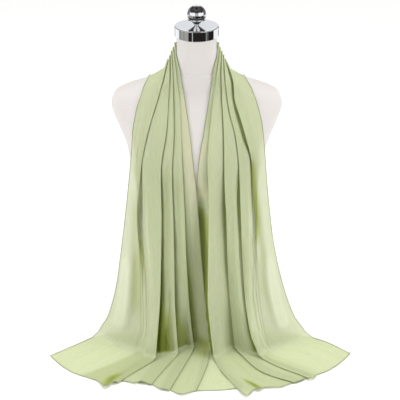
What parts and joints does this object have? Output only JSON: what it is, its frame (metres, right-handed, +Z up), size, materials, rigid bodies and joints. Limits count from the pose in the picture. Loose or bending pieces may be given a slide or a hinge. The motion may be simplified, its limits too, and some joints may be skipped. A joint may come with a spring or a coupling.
{
  "type": "chiffon scarf on a limbless dress form",
  "caption": "Sheer pleated chiffon scarf draped round the neck of a limbless dress form, its ends hanging in front and spreading on the table; metal neck cap with a ball finial.",
  "frame": {"origin": "centre of the form's flat bottom, on the table", "axes": "+Z up the form, -Y the way the form faces, +X towards the viewer's right"},
  "size_m": [0.654, 0.4662, 0.7235],
  "materials": {
    "chiffon": "sheer matte georgette chiffon with a narrow rolled hem",
    "jersey": "off-white matte jersey cover over foam",
    "chrome": "polished"
  },
  "bodies": {
    "root": {"scarf_left_front": "chiffon", "scarf_right_front": "chiffon", "scarf_back_neck": "chiffon", "form_torso": "jersey", "form_neck_cap": "chrome", "form_finial": "chrome"}
  },
  "joints": []
}
